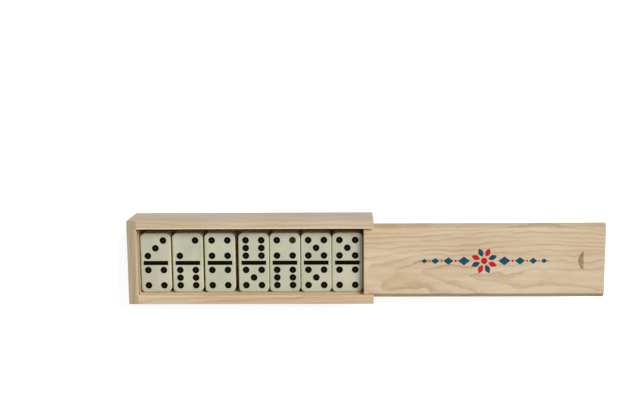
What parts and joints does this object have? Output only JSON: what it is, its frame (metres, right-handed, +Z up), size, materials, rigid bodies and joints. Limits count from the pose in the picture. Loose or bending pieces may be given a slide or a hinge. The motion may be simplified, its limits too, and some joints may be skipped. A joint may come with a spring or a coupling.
{
  "type": "domino storage box",
  "caption": "Oblong wooden box with a grooved sliding lid and thumb notch, filled with layers of double-six dominoes.",
  "frame": {"origin": "middle of the box's underside, on the surface it stands on", "axes": "+X along the box towards the low end that the lid slides out over, +Y across it, +Z up"},
  "size_m": [0.2959, 0.053, 0.03],
  "materials": {
    "bottom_panel": "plain, unfinished",
    "side_front": "sanded, clear lacquered",
    "side_back": "sanded, clear lacquered",
    "end_closed": "sanded, clear lacquered",
    "end_low": "sanded, clear lacquered",
    "lid": "sanded, clear lacquered",
    "domino_plastic": "ivory, polished, with black spots and bar"
  },
  "bodies": {
    "box": {"bottom_panel": "bottom_panel", "side_front": "side_front", "side_back": "side_back", "end_closed": "end_closed", "end_low": "end_low"},
    "lid": {"lid": "lid"},
    "domino_0_0": {"domino_0_0": "domino_plastic"},
    "domino_0_1": {"domino_0_1": "domino_plastic"},
    "domino_1_1": {"domino_1_1": "domino_plastic"},
    "domino_0_2": {"domino_0_2": "domino_plastic"},
    "domino_1_2": {"domino_1_2": "domino_plastic"},
    "domino_2_2": {"domino_2_2": "domino_plastic"},
    "domino_0_3": {"domino_0_3": "domino_plastic"},
    "domino_1_3": {"domino_1_3": "domino_plastic"},
    "domino_2_3": {"domino_2_3": "domino_plastic"},
    "domino_3_3": {"domino_3_3": "domino_plastic"},
    "domino_0_4": {"domino_0_4": "domino_plastic"},
    "domino_1_4": {"domino_1_4": "domino_plastic"},
    "domino_2_4": {"domino_2_4": "domino_plastic"},
    "domino_0_5": {"domino_0_5": "domino_plastic"},
    "domino_1_5": {"domino_1_5": "domino_plastic"},
    "domino_2_5": {"domino_2_5": "domino_plastic"},
    "domino_3_5": {"domino_3_5": "domino_plastic"},
    "domino_0_6": {"domino_0_6": "domino_plastic"},
    "domino_1_6": {"domino_1_6": "domino_plastic"},
    "domino_3_6": {"domino_3_6": "domino_plastic"},
    "domino_6_6": {"domino_6_6": "domino_plastic"},
    "domino_3_4": {"domino_3_4": "domino_plastic"},
    "domino_2_6": {"domino_2_6": "domino_plastic"},
    "domino_4_4": {"domino_4_4": "domino_plastic"},
    "domino_5_6": {"domino_5_6": "domino_plastic"},
    "domino_4_6": {"domino_4_6": "domino_plastic"},
    "domino_5_5": {"domino_5_5": "domino_plastic"},
    "domino_4_5": {"domino_4_5": "domino_plastic"}
  },
  "joints": [
    {"name": "lid_slide", "type": "slide", "parent": "box", "child": "lid", "axis": [1, 0, 0], "range_m": [-0.14365, 0.008]},
    {"name": "domino_0_0_lift", "type": "slide", "parent": "box", "child": "domino_0_0", "axis": [0, 0, 1], "range_m": [0, 0.0284]},
    {"name": "domino_0_1_lift", "type": "slide", "parent": "box", "child": "domino_0_1", "axis": [0, 0, 1], "range_m": [0, 0.0284]},
    {"name": "domino_1_1_lift", "type": "slide", "parent": "box", "child": "domino_1_1", "axis": [0, 0, 1], "range_m": [0, 0.0284]},
    {"name": "domino_0_2_lift", "type": "slide", "parent": "box", "child": "domino_0_2", "axis": [0, 0, 1], "range_m": [0, 0.0284]},
    {"name": "domino_1_2_lift", "type": "slide", "parent": "box", "child": "domino_1_2", "axis": [0, 0, 1], "range_m": [0, 0.0284]},
    {"name": "domino_2_2_lift", "type": "slide", "parent": "box", "child": "domino_2_2", "axis": [0, 0, 1], "range_m": [0, 0.0284]},
    {"name": "domino_0_3_lift", "type": "slide", "parent": "box", "child": "domino_0_3", "axis": [0, 0, 1], "range_m": [0, 0.0284]},
    {"name": "domino_1_3_lift", "type": "slide", "parent": "domino_0_0", "child": "domino_1_3", "axis": [0, 0, 1], "range_m": [0, 0.0236]},
    {"name": "domino_2_3_lift", "type": "slide", "parent": "domino_0_1", "child": "domino_2_3", "axis": [0, 0, 1], "range_m": [0, 0.0236]},
    {"name": "domino_3_3_lift", "type": "slide", "parent": "domino_1_1", "child": "domino_3_3", "axis": [0, 0, 1], "range_m": [0, 0.0236]},
    {"name": "domino_0_4_lift", "type": "slide", "parent": "domino_0_2", "child": "domino_0_4", "axis": [0, 0, 1], "range_m": [0, 0.0236]},
    {"name": "domino_1_4_lift", "type": "slide", "parent": "domino_1_2", "child": "domino_1_4", "axis": [0, 0, 1], "range_m": [0, 0.0236]},
    {"name": "domino_2_4_lift", "type": "slide", "parent": "domino_2_2", "child": "domino_2_4", "axis": [0, 0, 1], "range_m": [0, 0.0236]},
    {"name": "domino_0_5_lift", "type": "slide", "parent": "domino_0_3", "child": "domino_0_5", "axis": [0, 0, 1], "range_m": [0, 0.0236]},
    {"name": "domino_1_5_lift", "type": "slide", "parent": "domino_1_3", "child": "domino_1_5", "axis": [0, 0, 1], "range_m": [0, 0.0188]},
    {"name": "domino_2_5_lift", "type": "slide", "parent": "domino_2_3", "child": "domino_2_5", "axis": [0, 0, 1], "range_m": [0, 0.0188]},
    {"name": "domino_3_5_lift", "type": "slide", "parent": "domino_3_3", "child": "domino_3_5", "axis": [0, 0, 1], "range_m": [0, 0.0188]},
    {"name": "domino_0_6_lift", "type": "slide", "parent": "domino_0_4", "child": "domino_0_6", "axis": [0, 0, 1], "range_m": [0, 0.0188]},
    {"name": "domino_1_6_lift", "type": "slide", "parent": "domino_1_4", "child": "domino_1_6", "axis": [0, 0, 1], "range_m": [0, 0.0188]},
    {"name": "domino_3_6_lift", "type": "slide", "parent": "domino_2_4", "child": "domino_3_6", "axis": [0, 0, 1], "range_m": [0, 0.0188]},
    {"name": "domino_6_6_lift", "type": "slide", "parent": "domino_0_5", "child": "domino_6_6", "axis": [0, 0, 1], "range_m": [0, 0.0188]},
    {"name": "domino_3_4_lift", "type": "slide", "parent": "domino_1_5", "child": "domino_3_4", "axis": [0, 0, 1], "range_m": [0, 0.014]},
    {"name": "domino_2_6_lift", "type": "slide", "parent": "domino_2_5", "child": "domino_2_6", "axis": [0, 0, 1], "range_m": [0, 0.014]},
    {"name": "domino_4_4_lift", "type": "slide", "parent": "domino_3_5", "child": "domino_4_4", "axis": [0, 0, 1], "range_m": [0, 0.014]},
    {"name": "domino_5_6_lift", "type": "slide", "parent": "domino_0_6", "child": "domino_5_6", "axis": [0, 0, 1], "range_m": [0, 0.014]},
    {"name": "domino_4_6_lift", "type": "slide", "parent": "domino_1_6", "child": "domino_4_6", "axis": [0, 0, 1], "range_m": [0, 0.014]},
    {"name": "domino_5_5_lift", "type": "slide", "parent": "domino_3_6", "child": "domino_5_5", "axis": [0, 0, 1], "range_m": [0, 0.014]},
    {"name": "domino_4_5_lift", "type": "slide", "parent": "domino_6_6", "child": "domino_4_5", "axis": [0, 0, 1], "range_m": [0, 0.014]}
  ]
}
